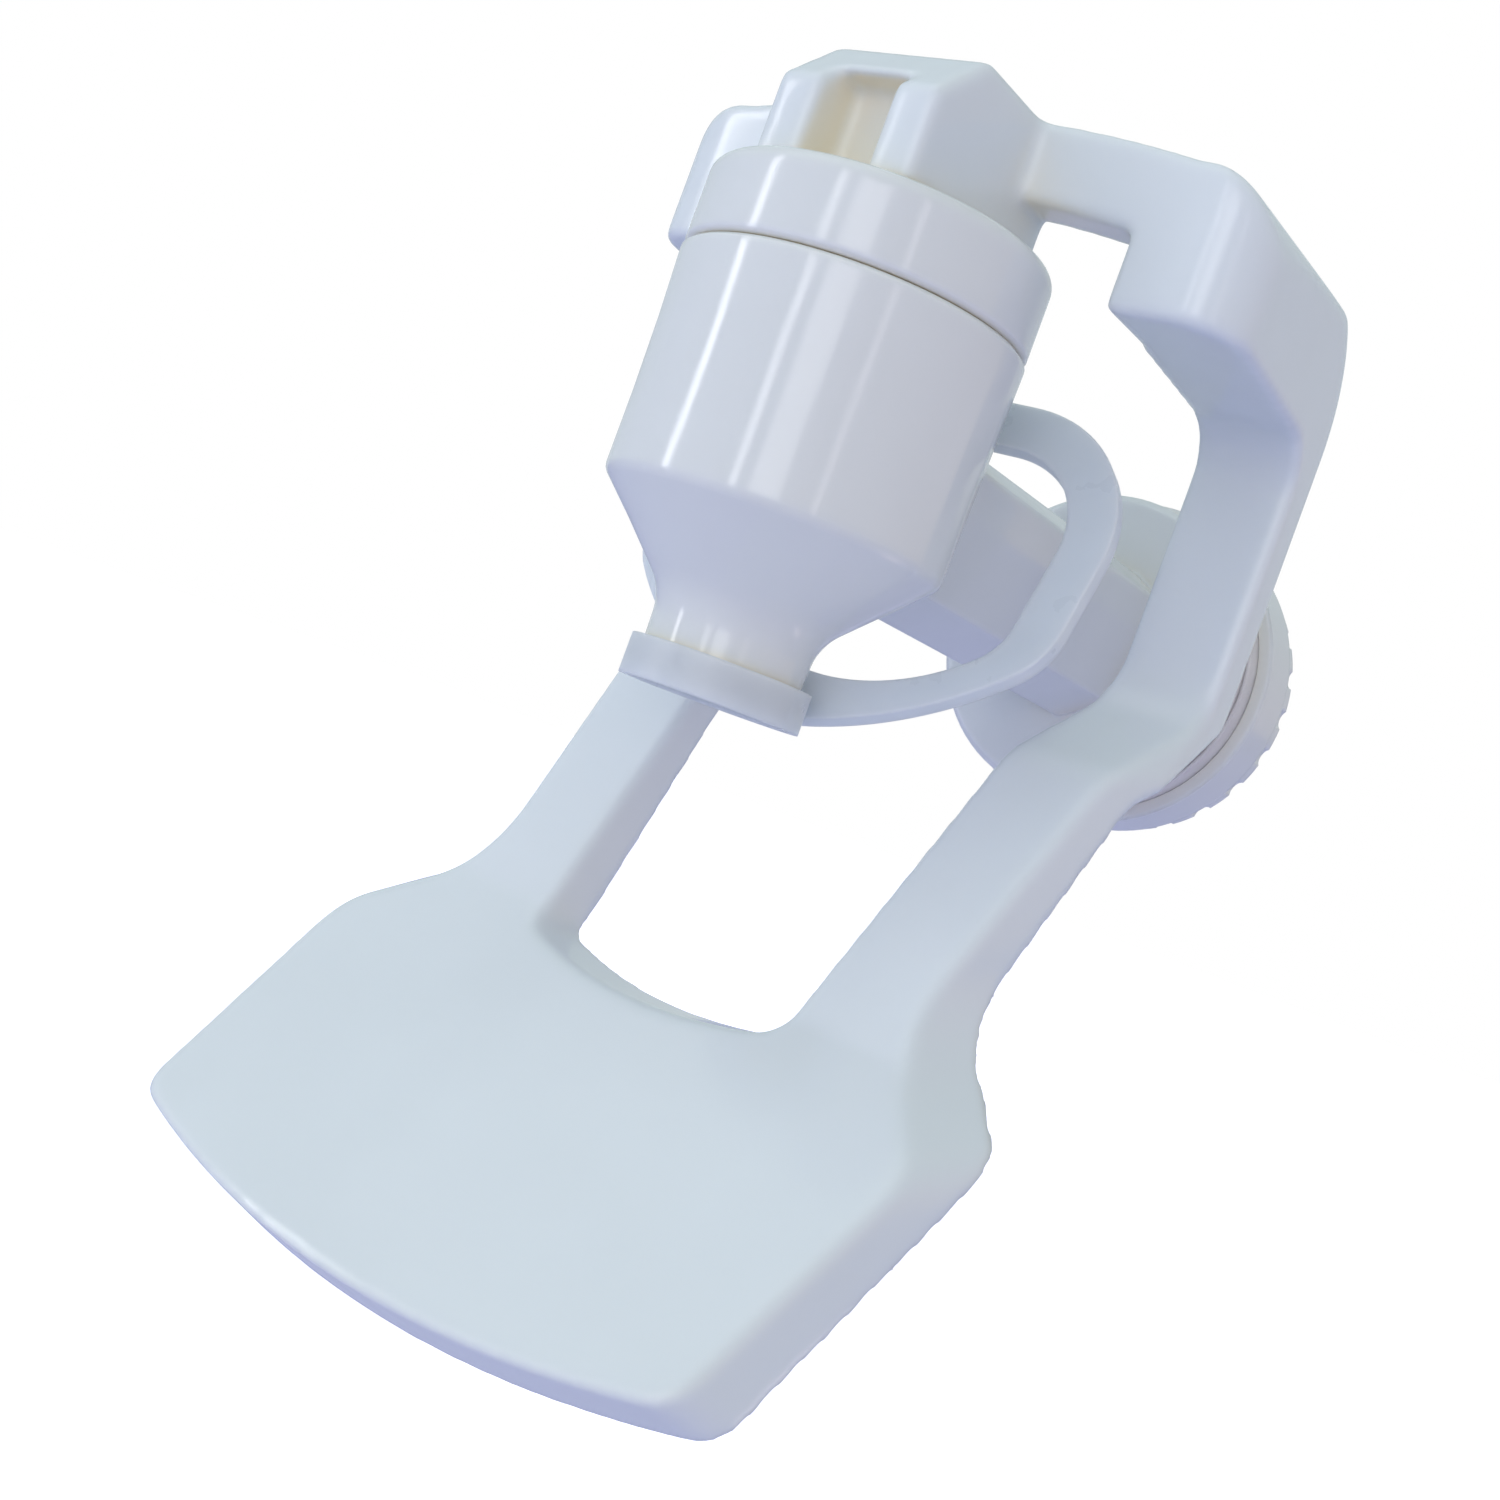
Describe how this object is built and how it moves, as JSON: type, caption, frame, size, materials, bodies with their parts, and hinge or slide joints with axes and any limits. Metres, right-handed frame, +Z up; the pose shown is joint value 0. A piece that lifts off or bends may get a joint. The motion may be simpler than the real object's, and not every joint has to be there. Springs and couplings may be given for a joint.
{
  "type": "water purifier tap",
  "caption": "Moulded cup valve on a threaded shank with a forked push lever, a wide paddle, a silicone nozzle strap and a lock nut.",
  "frame": {"origin": "on the shank axis in the plane of the flange's back face, where the tank wall is clamped", "axes": "+Z up, the nozzle points to -Z, the paddle faces -Y and the threaded tail runs to +Y"},
  "size_m": [0.0606, 0.0986, 0.0964],
  "materials": {
    "white_abs": "gloss",
    "lever_abs": "gloss",
    "silicone": "satin",
    "seal_silicone": "satin",
    "steel": "satin",
    "stem_plastic": "matte"
  },
  "bodies": {
    "tap": {"valve_body": "white_abs", "cap": "white_abs", "cap_seal": "seal_silicone", "nozzle_strap": "silicone", "flange_gasket": "seal_silicone", "nut_gasket": "seal_silicone", "lock_nut": "white_abs", "return_spring": "steel"},
    "lever": {"push_lever": "lever_abs"},
    "stem_group": {"stem": "stem_plastic", "seat_plug": "seal_silicone"}
  },
  "joints": [
    {"name": "lever_push", "type": "hinge", "parent": "tap", "child": "lever", "pos_m": [0, -0.06545, 0.0188], "axis": [1, 0, 0], "range_deg": [0, 15], "stiffness_Nm_per_rad": 0.057, "springref_deg": -24.06},
    {"name": "stem_lift", "type": "slide", "parent": "tap", "child": "stem_group", "axis": [0, 0, 1], "range_m": [0, 0.0026], "deforming": ["return_spring"]}
  ],
  "couplings": [
    {"joint": "stem_lift", "follows": "lever_push", "m_per_rad": 0.00979}
  ]
}
